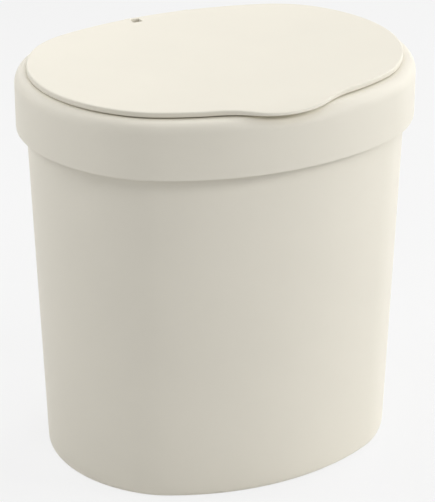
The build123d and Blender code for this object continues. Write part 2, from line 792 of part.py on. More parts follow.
with BuildPart() as latch_housing:
    with BuildSketch(Plane.XY.offset(housing_low)):
        with Locations((0, (housing_front + housing_rear) / 2)):
            Rectangle(2 * housing_half_width, housing_rear - housing_front)
    extrude(amount=housing_height)
    with BuildSketch(Plane.XY.offset(housing_low + housing_wall)):
        with Locations((0, (housing_front + housing_wall + housing_rear) / 2)):
            Rectangle(2 * cavity_half, housing_rear - housing_front - housing_wall)
    extrude(amount=mouth_under - housing_low - housing_wall, mode=Mode.SUBTRACT)
    fillet(latch_housing.edges().filter_by(Axis.Z).sort_by(Axis.Y)[:2], housing_corner)
    # Mouth, flared so that it turns the jaws inward as they come down.
    with BuildSketch(Plane.XZ.offset(-catch_y)):
        with BuildLine():
            Polyline(
                (-mouth_half_width, mouth_under - over),
                (-mouth_half_width, mouth_under + mouth_land),
                (-mouth_half_width - mouth_flare, housing_top + sliver),
                (mouth_half_width + mouth_flare, housing_top + sliver),
                (mouth_half_width, mouth_under + mouth_land),
                (mouth_half_width, mouth_under - over),
                close=True,
            )
        make_face()
    extrude(amount=mouth_half_depth, both=True, mode=Mode.SUBTRACT)
    # Ears under the collar's bosses.
    with BuildSketch(Plane.XY.offset(ear_low)):
        for side in (-1, 1):
            with Locations((side * (housing_half_width - embed + ear_out) / 2, catch_y)):
                Rectangle(ear_out - housing_half_width + embed, housing_ear_depth)
        with Locations(*catch_screw_places):
            Circle(screw_radius + screw_hole_clearance, mode=Mode.SUBTRACT)
    extrude(amount=housing_ear)
    # Nubs for the cover's clips.
    with BuildSketch(Plane.XY.offset(clip_window_low + seat_clearance)):
        for side in (-1, 1):
            with Locations((side * housing_half_width, clip_window_y)):
                Rectangle(2 * nub_reach, clip_window_width - 2 * seat_clearance)
    extrude(amount=clip_window_height - 2 * seat_clearance)

finish(latch_housing, "latch_housing")

follower_y = housing_rear - follower_offset
follower_low = housing_low + housing_wall + follower_rise

with BuildPart() as latch_cover:
    with BuildSketch(Plane.XY.offset(housing_low)):
        with Locations((0, housing_rear + cover_wall / 2)):
            Rectangle(2 * housing_half_width, cover_wall)
    extrude(amount=housing_height)
    with BuildSketch(Plane.XY.offset(clip_low)):
        for side in (-1, 1):
            with Locations((side * clip_x, housing_rear + (cover_wall - clip_reach) / 2)):
                Rectangle(clip_wall, clip_reach + cover_wall)
            with Locations((side * housing_half_width, housing_rear + cover_wall / 2)):
                Rectangle(2 * (clip_clearance + clip_wall), cover_wall)
    extrude(amount=clip_height)
    with BuildSketch(Plane.XY.offset(clip_window_low)):
        for side in (-1, 1):
            with Locations((side * clip_x, clip_window_y)):
                Rectangle(2 * clip_wall, clip_window_width)
    extrude(amount=clip_window_height, mode=Mode.SUBTRACT)
    with BuildSketch(Plane.XZ.offset(-housing_rear)):
        with Locations((0, follower_low)):
            Circle(cam_wire / 2 + running_clearance)
    extrude(amount=-follower_hole_depth, mode=Mode.SUBTRACT)

finish(latch_cover, "latch_cover")

latch_screws = screw(catch_screw_places, ear_low - screw_head_height, catch_screw_length)
finish(latch_screws, "latch_screws")

# ---------------------------------------------------------------- slider with its heart-shaped cam track
spring_seat_radius = catch_spring_radius + catch_spring_wire / 2 + spring_clearance
saddle_top = striker_low - saddle_clearance
cam_low = slider_low + cam_rise
cleft_z = cam_low + catch_travel + cleft_play
cam_tip_z = cleft_z + cam_wire / 2 + cleft_clearance
pin_places = [(-jaw_pivot_x, jaw_pivot_z), (jaw_pivot_x, jaw_pivot_z)]

with BuildPart() as latch_slider:
    with BuildSketch(Plane.XY.offset(slider_low)):
        with Locations((0, (slider_front + slider_rear) / 2)):
            Rectangle(2 * slider_half_width, slider_rear - slider_front)
    extrude(amount=slider_height)
    with BuildSketch(Plane.XY.offset(slider_low + slider_block)):
        with Locations((0, catch_y)):
            Rectangle(2 * slider_half_width + over, jaw_slot)
    extrude(amount=slider_height, mode=Mode.SUBTRACT)
    # Saddle between the plates, which the striker pushes on and which enters the mouth.
    with BuildSketch(Plane.XY.offset(slider_low)):
        with Locations((0, catch_y)):
            Rectangle(2 * saddle_half, 2 * (mouth_half_depth - slide_clearance))
    extrude(amount=saddle_top - slider_low)
    with BuildSketch(Plane.XY.offset(slider_low)):
        with Locations((0, catch_y)):
            Circle(spring_seat_radius)
    extrude(amount=spring_seat_depth, mode=Mode.SUBTRACT)
    with BuildSketch(Plane.XZ.offset(-slider_front)):
        with Locations(*pin_places):
            Circle(jaw_pin_radius + screw_clearance)
    extrude(amount=slider_front - slider_rear, mode=Mode.SUBTRACT)
    # Cam track round a heart. The follower rests in the cleft, and comes back down the other side.
    with BuildSketch(Plane.XZ.offset(-slider_rear)):
        with BuildLine():
            Polyline(
                (0, cam_low - 0.8),
                (1.0, cam_low - 0.3),
                (track_half_width, cleft_z - track_foot),
                (track_half_width, cleft_z + track_shoulder),
                (1.8, cleft_z + 2.7),
                (0.5, cleft_z + 1.8),
                (-0.9, cleft_z + 2.9),
                (-2.2, cleft_z + 2.9),
                (-track_half_width, cleft_z + track_shoulder),
                (-track_half_width, cleft_z - track_foot),
                (-1.0, cam_low - 0.3),
                close=True,
            )
        make_face()
        with BuildLine():
            Polyline(
                (0, cam_low + 1.7),
                (heart_right, cleft_z - heart_foot),
                (heart_right, cleft_z + 0.3),
                (1.2, cleft_z + 0.9),
                (0.5, cleft_z + 0.1),
                (-0.2, cleft_z),
                (-0.7, cleft_z + 0.9),
                (-1.4, cleft_z + 1.3),
                (-heart_left, cleft_z + 0.6),
                (-heart_left, cleft_z - heart_foot),
                close=True,
            )
        make_face(mode=Mode.SUBTRACT)
    extrude(amount=cam_track_depth, mode=Mode.SUBTRACT)

finish(latch_slider, "latch_slider")

# ---------------------------------------------------------------- catch spring
catch_spring_low = housing_low + housing_wall
catch_spring_height = slider_low + spring_seat_depth - catch_spring_low
catch_spring_rise = catch_spring_height - catch_spring_wire

with BuildPart() as latch_spring:
    with BuildLine() as spring_path:
        Helix(
            catch_spring_rise / catch_spring_turns,
            catch_spring_rise,
            catch_spring_radius,
            center=(0, catch_y, catch_spring_low + catch_spring_wire / 2),
        )
    with BuildSketch(spring_path.line ^ 0):
        RegularPolygon(catch_spring_wire / 2, 6)
    sweep(is_frenet=True)

finish(latch_spring, "latch_spring")


# ---------------------------------------------------------------- jaws and their pins
def jaw(side, name):
    """Jaw of the catch on one side: a pivot boss, an arm and a hook over the striker's head."""
    with BuildPart() as jaw_part:
        with BuildSketch(Plane.XZ.offset(-catch_y)):
            with BuildLine():
                Polyline(
                    (side * jaw_inner_x, jaw_pivot_z),
                    (side * jaw_inner_x, hook_low),
                    (side * hook_x, hook_low),
                    (side * hook_x, hook_low + hook_nose),
                    (side * (hook_x + hook_slope), jaw_top),
                    (side * (jaw_shoulder_x - jaw_corner), jaw_top),
                    (side * jaw_shoulder_x, jaw_top - jaw_corner),
                    (side * jaw_shoulder_x, hook_low + jaw_corner),
                    (side * jaw_outer_x, hook_low - jaw_shoulder_drop),
                    (side * jaw_outer_x, jaw_pivot_z),
                    close=True,
                )
            make_face()
            with Locations((side * jaw_pivot_x, jaw_pivot_z)):
                Circle(jaw_boss_radius)
                Circle(jaw_pin_radius + running_clearance, mode=Mode.SUBTRACT)
        extrude(amount=jaw_thickness / 2, both=True)
    finish(jaw_part, name)
    return jaw_part


jaw_left = jaw(-1, "jaw_left")
jaw_right = jaw(1, "jaw_right")

with BuildPart() as jaw_pins:
    with BuildSketch(Plane.XZ.offset(-slider_front)):
        with Locations(*pin_places):
            Circle(jaw_pin_radius)
    extrude(amount=slider_front - slider_rear)

finish(jaw_pins, "jaw_pins")

# ---------------------------------------------------------------- cam follower
with BuildPart() as cam_follower:
    with BuildLine() as follower_path:
        FilletPolyline(
            (0, housing_rear + follower_hole_depth - follower_end_clearance, follower_low),
            (0, follower_y, follower_low),
            (0, follower_y, cam_tip_z),
            (0, slider_rear - cam_track_depth + follower_tip_clearance, cam_tip_z),
            radius=follower_bend,
        )
    with BuildSketch(follower_path.line ^ 0):
        RegularPolygon(cam_wire / 2, 8)
    sweep()

finish(cam_follower, "cam_follower")
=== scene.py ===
"""Push top countertop bin: materials, finished pieces, floor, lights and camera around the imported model."""

from math import atan2, cos, degrees, pi, radians, sin, tan
import json

import bmesh
import bpy
from mathutils import Matrix, Vector
from mathutils.geometry import delaunay_2d_cdt


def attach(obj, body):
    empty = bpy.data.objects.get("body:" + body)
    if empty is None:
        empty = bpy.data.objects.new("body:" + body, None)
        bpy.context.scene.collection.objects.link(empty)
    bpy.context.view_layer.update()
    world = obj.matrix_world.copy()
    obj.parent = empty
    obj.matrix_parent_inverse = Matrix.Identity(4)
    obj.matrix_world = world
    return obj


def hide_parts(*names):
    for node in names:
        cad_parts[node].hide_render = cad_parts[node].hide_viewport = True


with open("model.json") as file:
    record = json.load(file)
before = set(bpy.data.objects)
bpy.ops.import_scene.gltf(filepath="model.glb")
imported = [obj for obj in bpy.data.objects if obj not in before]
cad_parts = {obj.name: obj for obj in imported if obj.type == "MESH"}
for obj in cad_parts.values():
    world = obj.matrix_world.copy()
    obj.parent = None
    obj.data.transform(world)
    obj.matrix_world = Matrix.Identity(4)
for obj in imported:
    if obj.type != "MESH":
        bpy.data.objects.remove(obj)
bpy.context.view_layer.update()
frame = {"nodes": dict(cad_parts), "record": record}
nodes = frame["nodes"]

MM = 0.001
joint_places = {joint["name"]: joint.get("pos_m") for joint in frame["record"]["behaviour"]["joints"]}
hinge_y, hinge_z = (value / MM for value in joint_places["lid_open"][1:])
catch_y = joint_places["jaw_left_swing"][1] / MM

# ---------------------------------------------------------------- camera
camera_place = Vector((-501.2, -1015.7, 621.8)) * MM
camera_turn = radians(26.27)  # to the right of +Y
camera_tilt = radians(24.2)  # below the horizon
long_side = 36.0  # of the picture, in millimetres at the focal length
focal_length = 160.4
picture_size = (435, 502)
optical_centre = (220.0, 246.4)


def make_camera():
    """Camera at the front left of the bin, looking down at it."""
    data = bpy.data.cameras.new("bin_camera")
    data.sensor_width = long_side
    data.lens = focal_length
    data.shift_x = (picture_size[0] / 2 - optical_centre[0]) / max(picture_size)
    data.shift_y = (optical_centre[1] - picture_size[1] / 2) / max(picture_size)
    data.clip_start = 0.05
    data.clip_end = 50.0
    camera = bpy.data.objects.new("bin_camera", data)
    bpy.context.scene.collection.objects.link(camera)
    level = cos(camera_tilt)
    ahead = Vector((sin(camera_turn) * level, cos(camera_turn) * level, -sin(camera_tilt)))
    right = Vector((cos(camera_turn), -sin(camera_turn), 0.0))
    up = right.cross(ahead)
    facing = Matrix((right, up, -ahead)).transposed().to_4x4()
    camera.matrix_world = Matrix.Translation(camera_place) @ facing
    bpy.context.scene.camera = camera


# ---------------------------------------------------------------- shared shader groups
line_stretch = 0.06  # scale of the noise along a drawn line, against 1 across it


def group_sockets(group, inputs, outputs):
    """Named float inputs with their defaults, and named float outputs."""
    for name, value in inputs:
        socket = group.interface.new_socket(name=name, in_out="INPUT", socket_type="NodeSocketFloat")
        socket.default_value = value
    for name in outputs:
        group.interface.new_socket(name=name, in_out="OUTPUT", socket_type="NodeSocketFloat")
    return group.nodes.new("NodeGroupInput"), group.nodes.new("NodeGroupOutput")


def math_node(tree, operation, first, second):
    """Math node fed by sockets or plain numbers."""
    node = tree.nodes.new("ShaderNodeMath")
    node.operation = operation
    for socket, value in zip(node.inputs, (first, second)):
        if isinstance(value, bpy.types.NodeSocket):
            tree.links.new(value, socket)
        else:
            socket.default_value = value
    return node.outputs[0]


def noise_node(tree, coordinates, scale, detail):
    """Noise on object coordinates, mostly between 0.25 and 0.75."""
    node = tree.nodes.new("ShaderNodeTexNoise")
    node.inputs["Detail"].default_value = detail
    node.inputs["Roughness"].default_value = 0.55
    tree.links.new(coordinates, node.inputs["Vector"])
    if isinstance(scale, bpy.types.NodeSocket):
        tree.links.new(scale, node.inputs["Scale"])
    else:
        node.inputs["Scale"].default_value = scale
    return node.outputs["Fac"]


def make_spark_grain():
    """Fine pebbled grain of a spark-eroded mould, as a height: small grains over larger, lower ones."""
    group = bpy.data.node_groups.new("spark_grain", "ShaderNodeTree")
    inputs = (("Grains per metre", 2600.0), ("Large grain scale", 0.27), ("Softness", 0.35))
    entry, result = group_sockets(group, inputs, ("Height",))
    place = group.nodes.new("ShaderNodeTexCoord").outputs["Object"]
    grains = entry.outputs["Grains per metre"]
    small = noise_node(group, place, grains, 2.0)
    fewer = math_node(group, "MULTIPLY", grains, entry.outputs["Large grain scale"])
    large = noise_node(group, place, fewer, 1.0)
    lowered = math_node(group, "MULTIPLY", large, entry.outputs["Softness"])
    group.links.new(math_node(group, "ADD", small, lowered), result.inputs["Height"])
    return group


def make_handling():
    """Where hands and cloths have been: broad soft patches, and faint fine scuffs."""
    group = bpy.data.node_groups.new("handling", "ShaderNodeTree")
    inputs = (
        ("Patches per metre", 14.0),
        ("Scuffs per metre", 160.0),
        ("Scuffs from", 0.62),
        ("Scuffs to", 0.80),
    )
    entry, result = group_sockets(group, inputs, ("Patches", "Scuffs"))
    place = group.nodes.new("ShaderNodeTexCoord").outputs["Object"]
    patches = noise_node(group, place, entry.outputs["Patches per metre"], 3.0)
    scuffs = noise_node(group, place, entry.outputs["Scuffs per metre"], 6.0)
    ramp = group.nodes.new("ShaderNodeMapRange")
    group.links.new(entry.outputs["Scuffs from"], ramp.inputs["From Min"])
    group.links.new(entry.outputs["Scuffs to"], ramp.inputs["From Max"])
    group.links.new(scuffs, ramp.inputs["Value"])
    group.links.new(patches, result.inputs["Patches"])
    group.links.new(ramp.outputs["Result"], result.inputs["Scuffs"])
    return group


def make_drawn_lines():
    """Fine lines that drawing leaves along wire and pins, as a height: noise stretched along X."""
    group = bpy.data.node_groups.new("drawn_lines", "ShaderNodeTree")
    entry, result = group_sockets(group, (("Lines per metre", 9000.0),), ("Height",))
    place = group.nodes.new("ShaderNodeTexCoord").outputs["Object"]
    stretch = group.nodes.new("ShaderNodeMapping")
    stretch.inputs["Scale"].default_value = (line_stretch, 1.0, 1.0)
    group.links.new(place, stretch.inputs["Vector"])
    lines = noise_node(group, stretch.outputs["Vector"], entry.outputs["Lines per metre"], 2.0)
    group.links.new(lines, result.inputs["Height"])
    return group


spark_grain = make_spark_grain()
handling = make_handling()
drawn_lines = make_drawn_lines()


# ---------------------------------------------------------------- materials
def use_group(tree, group, **values):
    """Place a shared group in a material, with its own input values."""
    node = tree.nodes.new("ShaderNodeGroup")
    node.node_tree = group
    for name, value in values.items():
        node.inputs[name.replace("_", " ").capitalize()].default_value = value
    return node.outputs


def bump(tree, shader, height, strength, distance):
    """Bump from a height, into the shader's normal."""
    node = tree.nodes.new("ShaderNodeBump")
    node.inputs["Strength"].default_value = strength
    node.inputs["Distance"].default_value = distance
    tree.links.new(height, node.inputs["Height"])
    tree.links.new(node.outputs["Normal"], shader.inputs["Normal"])


def spread(tree, value, low, high):
    """Noise, from 0.25 to 0.75, spread between two values."""
    node = tree.nodes.new("ShaderNodeMapRange")
    node.inputs["From Min"].default_value = 0.25
    node.inputs["From Max"].default_value = 0.75
    node.inputs["To Min"].default_value = low
    node.inputs["To Max"].default_value = high
    tree.links.new(value, node.inputs["Value"])
    return node.outputs["Result"]


def mix_colours(tree, factor, first, second):
    """Colour between two colours."""
    node = tree.nodes.new("ShaderNodeMix")
    node.data_type = "RGBA"
    tree.links.new(factor, node.inputs["Factor"])
    node.inputs["A"].default_value = (*first, 1.0)
    node.inputs["B"].default_value = (*second, 1.0)
    return node.outputs["Result"]


def new_material(name):
    """Empty node material with its shader, and the shader's node tree."""
    material = bpy.data.materials.new(name)
    material.use_nodes = True
    tree = material.node_tree
    return material, tree, tree.nodes["Principled BSDF"]


def shaded(colour, share):
    """A share of a colour."""
    return tuple(channel * share for channel in colour)


# How dark a patch is, how far patches and scuffs move the roughness, and how strong the grain is.
moulded_patch_shade = 0.965
moulded_polish = 0.05
moulded_dulling = 0.04
moulded_scuff_dulling = 0.08
moulded_grain = 0.35
smooth_patch_shade = 0.93
smooth_patch_change = 0.07
smooth_scuff = 0.2
steel_patch_shade = 0.82
steel_polish = 0.06
steel_dulling = 0.08
steel_grain = 0.25
scratch_depth = 0.00002


def moulded_plastic(name, colour, roughness, grain_depth, specular=0.5):
    """Injection moulded plastic with a spark-eroded grain, faintly polished where it is handled."""
    material, tree, shader = new_material(name)
    grain = use_group(tree, spark_grain)
    touched = use_group(tree, handling)
    tone = spread(tree, touched["Patches"], 0.0, 1.0)
    mixed = mix_colours(tree, tone, shaded(colour, moulded_patch_shade), colour)
    tree.links.new(mixed, shader.inputs["Base Color"])
    polish = spread(tree, touched["Patches"], roughness - moulded_polish, roughness + moulded_dulling)
    dulling = math_node(tree, "MULTIPLY", touched["Scuffs"], moulded_scuff_dulling)
    tree.links.new(math_node(tree, "ADD", polish, dulling), shader.inputs["Roughness"])
    shader.inputs["Specular IOR Level"].default_value = specular
    bump(tree, shader, grain["Height"], moulded_grain, grain_depth)
    return material


def smooth_plastic(name, colour, roughness):
    """Smooth slippery plastic of the moving pieces, with faint rubbed patches."""
    material, tree, shader = new_material(name)
    touched = use_group(tree, handling, patches_per_metre=90.0, scuffs_per_metre=900.0)
    patches = touched["Patches"]
    mixed = mix_colours(tree, patches, shaded(colour, smooth_patch_shade), colour)
    tree.links.new(mixed, shader.inputs["Base Color"])
    rubbed = spread(tree, patches, roughness - smooth_patch_change, roughness + smooth_patch_change)
    tree.links.new(rubbed, shader.inputs["Roughness"])
    bump(tree, shader, touched["Scuffs"], smooth_scuff, scratch_depth)
    return material


def drawn_steel(name, colour, roughness, lines=9000.0):
    """Bright drawn steel wire and plated screws."""
    material, tree, shader = new_material(name)
    grain = use_group(tree, drawn_lines, lines_per_metre=lines)
    touched = use_group(tree, handling, patches_per_metre=120.0)
    mixed = mix_colours(tree, touched["Patches"], shaded(colour, steel_patch_shade), colour)
    tree.links.new(mixed, shader.inputs["Base Color"])
    brushed = spread(tree, grain["Height"], roughness - steel_polish, roughness + steel_dulling)
    tree.links.new(brushed, shader.inputs["Roughness"])
    shader.inputs["Metallic"].default_value = 1.0
    bump(tree, shader, grain["Height"], steel_grain, scratch_depth)
    return material


cream = (0.835, 0.797, 0.696)
liner_cream = (0.815, 0.770, 0.672)
finishes = {
    "tub_plastic": moulded_plastic("tub_plastic", cream, 0.56, 0.00006, specular=0.4),
    "collar_plastic": moulded_plastic("collar_plastic", cream, 0.54, 0.00005, specular=0.4),
    "lid_plastic": moulded_plastic("lid_plastic", cream, 0.60, 0.00006, specular=0.35),
    "liner_plastic": moulded_plastic("liner_plastic", liner_cream, 0.44, 0.00004),
    "striker_plastic": smooth_plastic("striker_plastic", (0.74, 0.73, 0.70), 0.28),
    "latch_case_plastic": smooth_plastic("latch_case_plastic", (0.58, 0.58, 0.57), 0.40),
    "latch_moving_plastic": smooth_plastic("latch_moving_plastic", (0.76, 0.76, 0.74), 0.26),
    "pin_steel": drawn_steel("pin_steel", (0.62, 0.61, 0.60), 0.24),
    "spring_steel": drawn_steel("spring_steel", (0.50, 0.49, 0.48), 0.30),
    "screw_steel": drawn_steel("screw_steel", (0.66, 0.66, 0.65), 0.28, lines=5000.0),
}


# ---------------------------------------------------------------- tools for the finished pieces
merge_distance = 0.002  # millimetres, below which two points are one
sliver_length = 0.001
facet_angle = 0.1  # degrees, below which two facets are one flat face


def mesh_from(name, points, faces):
    """Mesh object from points in millimetres, with doubled points merged and every face pointing outwards."""
    mesh = bpy.data.meshes.new(name)
    mesh.from_pydata([Vector(point) * MM for point in points], [], faces)
    form = bmesh.new()
    form.from_mesh(mesh)
    bmesh.ops.remove_doubles(form, verts=form.verts, dist=merge_distance * MM)
    bmesh.ops.dissolve_degenerate(form, edges=form.edges, dist=sliver_length * MM)
    bmesh.ops.recalc_face_normals(form, faces=form.faces)
    form.to_mesh(mesh)
    form.free()
    return link(name, mesh)


def link(name, mesh):
    """Object for a mesh, in the scene, at the origin."""
    piece = bpy.data.objects.new(name, mesh)
    bpy.context.scene.collection.objects.link(piece)
    return piece


def applied(piece):
    """The same piece with its modifiers worked into a plain mesh."""
    graph = bpy.context.evaluated_depsgraph_get()
    mesh = bpy.data.meshes.new_from_object(piece.evaluated_get(graph))
    mesh.name = piece.name
    piece.modifiers.clear()
    piece.data = mesh
    return piece


def edges_rounded(piece, width, angle):
    """The same piece with its edges sharper than an angle rounded, over a width in millimetres."""
    bevel = piece.modifiers.new("rounded_edges", "BEVEL")
    bevel.width = width * MM
    bevel.segments = 2
    bevel.limit_method = "ANGLE"
    bevel.angle_limit = radians(angle)
    bevel.use_clamp_overlap = True
    return applied(piece)


def smoothed(piece, angle=35.0):
    """Smooth shading that keeps the edges sharper than an angle."""
    mesh = piece.data
    mesh.shade_smooth()
    mesh.set_sharp_from_angle(angle=radians(angle))
    weighted = piece.modifiers.new("even_normals", "WEIGHTED_NORMAL")
    weighted.keep_sharp = True
    return applied(piece)


def finished(piece, body, slot, *stands_for):
    """Give a finished piece its material, its body and the nodes that it stands for."""
    piece.data.materials.clear()
    piece.data.materials.append(finishes[slot])
    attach(piece, body)
    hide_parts(*stands_for)


def joined(name, parts):
    """One object from several, each worked into its place."""
    form = bmesh.new()
    for part in parts:
        form.from_mesh(part.data)
        bpy.data.objects.remove(part)
    mesh = bpy.data.meshes.new(name)
    form.to_mesh(mesh)
    form.free()
    return link(name, mesh)


def sheet_faces(loops):
    """Triangles that fill the first loop of plan points and leave the other, convex loops open."""
    places = [Vector(point) for loop in loops for point in loop]
    edges = []
    first = 0
    for loop in loops:
        count = len(loop)
        edges += [(first + i, first + (i + 1) % count) for i in range(count)]
        first += count
    faces = delaunay_2d_cdt(places, edges, [], 1, 1e-6)[2]
    owner = [number for number, loop in enumerate(loops) for _ in loop]
    return [face for face in faces if len({owner[i] for i in face}) > 1 or owner[face[0]] == 0]


# ---------------------------------------------------------------- outline of the lid in plan, in millimetres
half_width = 110.0
front_y = -87.0
rear_y = 87.0
widest_line = 4.3  # y of the widest place
corner = 60.0
lid_front_back = 1.6  # how far the lid's front stands behind the collar's outline, besides its inset
front_angles = (48.4, 27.2)  # of the side arc and the end arc
back_angles = (35.4, 18.4)
back_steps = (12, 18, 14)  # points on the side, corner and end arcs
front_steps = (14, 18, 8)


def quarter_arcs(to_back):
    """Centre, radius and angles of the side, corner and end arcs of a quarter lid, before its inset."""
    reach = rear_y - widest_line if to_back else widest_line - front_y - lid_front_back
    side_angle, end_angle = back_angles if to_back else front_angles
    side, end = radians(side_angle), radians(end_angle)
    lean = tan(end / 2)
    side_extra = (reach - corner - lean * (half_width - corner)) / (sin(side) - lean * (1 - cos(side)))
    end_extra = (half_width - corner - side_extra * (1 - cos(side))) / sin(end)
    corner_centre = (half_width - corner - side_extra * (1 - cos(side)), side_extra * sin(side))
    return (
        ((half_width - corner - side_extra, 0.0), corner + side_extra, 0.0, side_angle),
        (corner_centre, corner, side_angle, 90.0 - end_angle),
        ((0.0, reach - corner - end_extra), corner + end_extra, 90.0 - end_angle, 90.0),
    )


def along(centre, radius, first, last, count):
    """Points round an arc, without its last one."""
    turns = [radians(first + (last - first) * i / count) for i in range(count)]
    return [(centre[0] + radius * cos(turn), centre[1] + radius * sin(turn)) for turn in turns]


# ---------------------------------------------------------------- lid
lid_inset = 6.6  # inside the collar's outline
collar_top = 221.0
rest_gap = 0.06  # between rim and collar, at the hinge
push_lean = 0.00454  # of the underside, so that the rim seats evenly when the lid is pushed down
lid_top = 224.4
plate_under = 222.6  # underside inside the rim
skirt_wall = 2.2
top_round = 0.9  # of the rim's edges
low_round = 0.15
tab_nose = 44.0  # radius of the tab's outward arc
tab_flank = 62.0  # radius of the hollow arcs beside it
top_bend_start = -74.0  # y before which the tab's top and underside bend down, and their bends' radii
top_bend_radius = 36.74
low_bend_start = -77.5
low_bend_radius = 53.0
slot_middle = (-15.3, 74.6)
slot_size = (5.5, 5.6)
slot_round = 0.8
slot_chamfer = 0.25
rim_shares = (0.34, 0.67)  # of the rim's underside, from its inner edge, at which lines of points run round
low_round_steps = 3
top_round_steps = 8
tab_steps = 14  # points on each arc of the tab
top_border = 1.5  # width of the top's outermost band
sheet_front = 60.0  # the slot's sheet lies behind this line, and strips across the lid before it


def lid_top_z(y):
    """Height of the lid's top, which bends down over the collar's edge at the front."""
    return lid_top - max(0.0, top_bend_start - y) ** 2 / (2 * top_bend_radius)


def lid_low_z(y):
    """Height of the lid's underside, which leans up towards the front."""
    level = collar_top + rest_gap + push_lean * (hinge_y - y)
    return level - max(0.0, low_bend_start - y) ** 2 / (2 * low_bend_radius)


def tab_frame():
    """Centres of the arcs at the tab, the front arc's radius, and the angles at which the arcs meet."""
    end_centre, end_radius, _, _ = quarter_arcs(False)[2]
    front_radius = end_radius - lid_inset
    front_centre = Vector((0.0, widest_line - end_centre[1]))
    nose_centre = Vector((0.0, front_y + tab_nose))
    gap = front_centre.y - nose_centre.y
    far, near = front_radius + tab_flank, tab_nose + tab_flank
    lean = (far**2 + gap**2 - near**2) / (2 * far * gap)
    flank_centre = Vector((far * (1 - lean**2) ** 0.5, front_centre.y - far * lean))
    root = flank_centre - front_centre
    turn = flank_centre - nose_centre
    angles = (degrees(atan2(way.y, way.x)) for way in (root, turn))
    return front_centre, front_radius, nose_centre, flank_centre, *angles


def half_lid(inset, with_tab):
    """Right half of the lid's outline from the middle of the back to the middle of the front."""
    line = []
    for (centre, radius, first, last), count in zip(reversed(quarter_arcs(True)), reversed(back_steps)):
        place = (centre[0], widest_line + centre[1])
        line += along(place, radius - lid_inset - inset, last, first, count)
    front_arcs = quarter_arcs(False)
    for (centre, radius, first, last), count in zip(front_arcs[:2], front_steps):
        place = (centre[0], widest_line - centre[1])
        line += along(place, radius - lid_inset - inset, -first, -last, count)
    front_centre, front_radius, nose_centre, flank_centre, root, turn = tab_frame()
    end_radius = front_radius - inset
    line += along(front_centre, end_radius, -front_arcs[2][2], root, front_steps[2])
    if with_tab:
        line += along(flank_centre, tab_flank + inset, root + 180, turn + 180, tab_steps)
        line += along(nose_centre, tab_nose - inset, turn, -90, tab_steps)
        return line + [(0.0, front_y + inset)]
    line += along(front_centre, end_radius, root, -90, 2 * tab_steps)
    return line + [(0.0, front_centre.y - end_radius)]


def lid_loop(inset, with_tab=True):
    """Whole outline of the lid moved inward, from the middle of the back, round to the right and back."""
    right = half_lid(inset, with_tab)
    return right + [(-x, y) for x, y in right[-2:0:-1]]


def slot_loop(grow):
    """Outline of the spring leg's slot, with rounded corners, moved outward."""
    points = []
    for sign_x, sign_y, first in ((1, 1, 0), (-1, 1, 90), (-1, -1, 180), (1, -1, 270)):
        centre = (
            slot_middle[0] + sign_x * (slot_size[0] / 2 - slot_round),
            slot_middle[1] + sign_y * (slot_size[1] / 2 - slot_round),
        )
        # Six points, 18 degrees apart, so that the last stands at the corner's 90 degrees.
        points += along(centre, slot_round + grow, first, first + 108, 6)
    return points


def lid_shell():
    """Lid panel: top with its rounded edge, hanging rim, underside and the spring leg's slot."""
    points, faces = [], []

    def ring(loop, height):
        first = len(points)
        points.extend((x, y, height(y)) for x, y in loop)
        return list(range(first, len(points)))

    def band(lower, upper):
        for i in range(len(lower)):
            after = (i + 1) % len(lower)
            faces.append((lower[i], lower[after], upper[after], upper[i]))

    def cap(rings):
        loops = [[points[i][:2] for i in one] for one in rings]
        index = [i for one in rings for i in one]
        faces.extend(tuple(index[i] for i in face) for face in sheet_faces(loops))

    inner = lid_loop(skirt_wall, with_tab=False)
    outer = lid_loop(low_round)
    rings = [ring(inner, lambda y: plate_under), ring(inner, lid_low_z)]
    for share in rim_shares:
        middle = [tuple(Vector(a).lerp(Vector(b), share)) for a, b in zip(inner, outer)]
        rings.append(ring(middle, lid_low_z))
    for i in range(low_round_steps + 1):
        turn = radians(90 * i / low_round_steps)
        inset, rise = low_round * (1 - sin(turn)), low_round * (1 - cos(turn))
        rings.append(ring(lid_loop(inset), lambda y: lid_low_z(y) + rise))
    for i in range(top_round_steps + 1):
        turn = radians(90 * i / top_round_steps)
        inset, drop = top_round * (1 - cos(turn)), top_round * (1 - sin(turn))
        rings.append(ring(lid_loop(inset), lambda y: lid_top_z(y) - drop))
    rings.append(ring(lid_loop(top_border), lid_top_z))
    for lower, upper in zip(rings, rings[1:]):
        band(lower, upper)
    # Top: strips across the lid from the front, and a sheet with the slot at the back.
    top = rings[-1]
    count = len(top)
    half = count // 2
    last = next(i for i in range(half + 1) if points[top[i]][1] < sheet_front)
    for i in range(last, half):
        left, left_next = top[count - i], top[count - i - 1]
        strip = [top[i], top[i + 1]] + ([left_next] if i + 1 < half else []) + [left]
        faces.append(tuple(strip))
    back = [top[i] for i in range(last + 1)] + [top[count - i] for i in range(last, 0, -1)]
    mouth = ring(slot_loop(slot_chamfer), lambda y: lid_top)
    throat = ring(slot_loop(0.0), lambda y: lid_top - slot_chamfer)
    exit_ring = ring(slot_loop(0.0), lambda y: plate_under)
    cap([back, mouth])
    cap([rings[0], exit_ring])
    band(mouth, throat)
    band(throat, exit_ring)
    return mesh_from("lid_shell", points, faces)


def turned(name, place, outline, count=40):
    """Form turned about an upright axis from a closed outline of (radius, height) points."""
    points, faces = [], []
    for radius, height in outline:
        points += [(place[0] + x, place[1] + y, height) for x, y in along((0, 0), radius, 0, 360, count)]
    rows = len(outline)
    for row in range(rows):
        low, high = row * count, (row + 1) % rows * count
        faces += [(low + i, low + (i + 1) % count, high + (i + 1) % count, high + i) for i in range(count)]
    return mesh_from(name, points, faces)


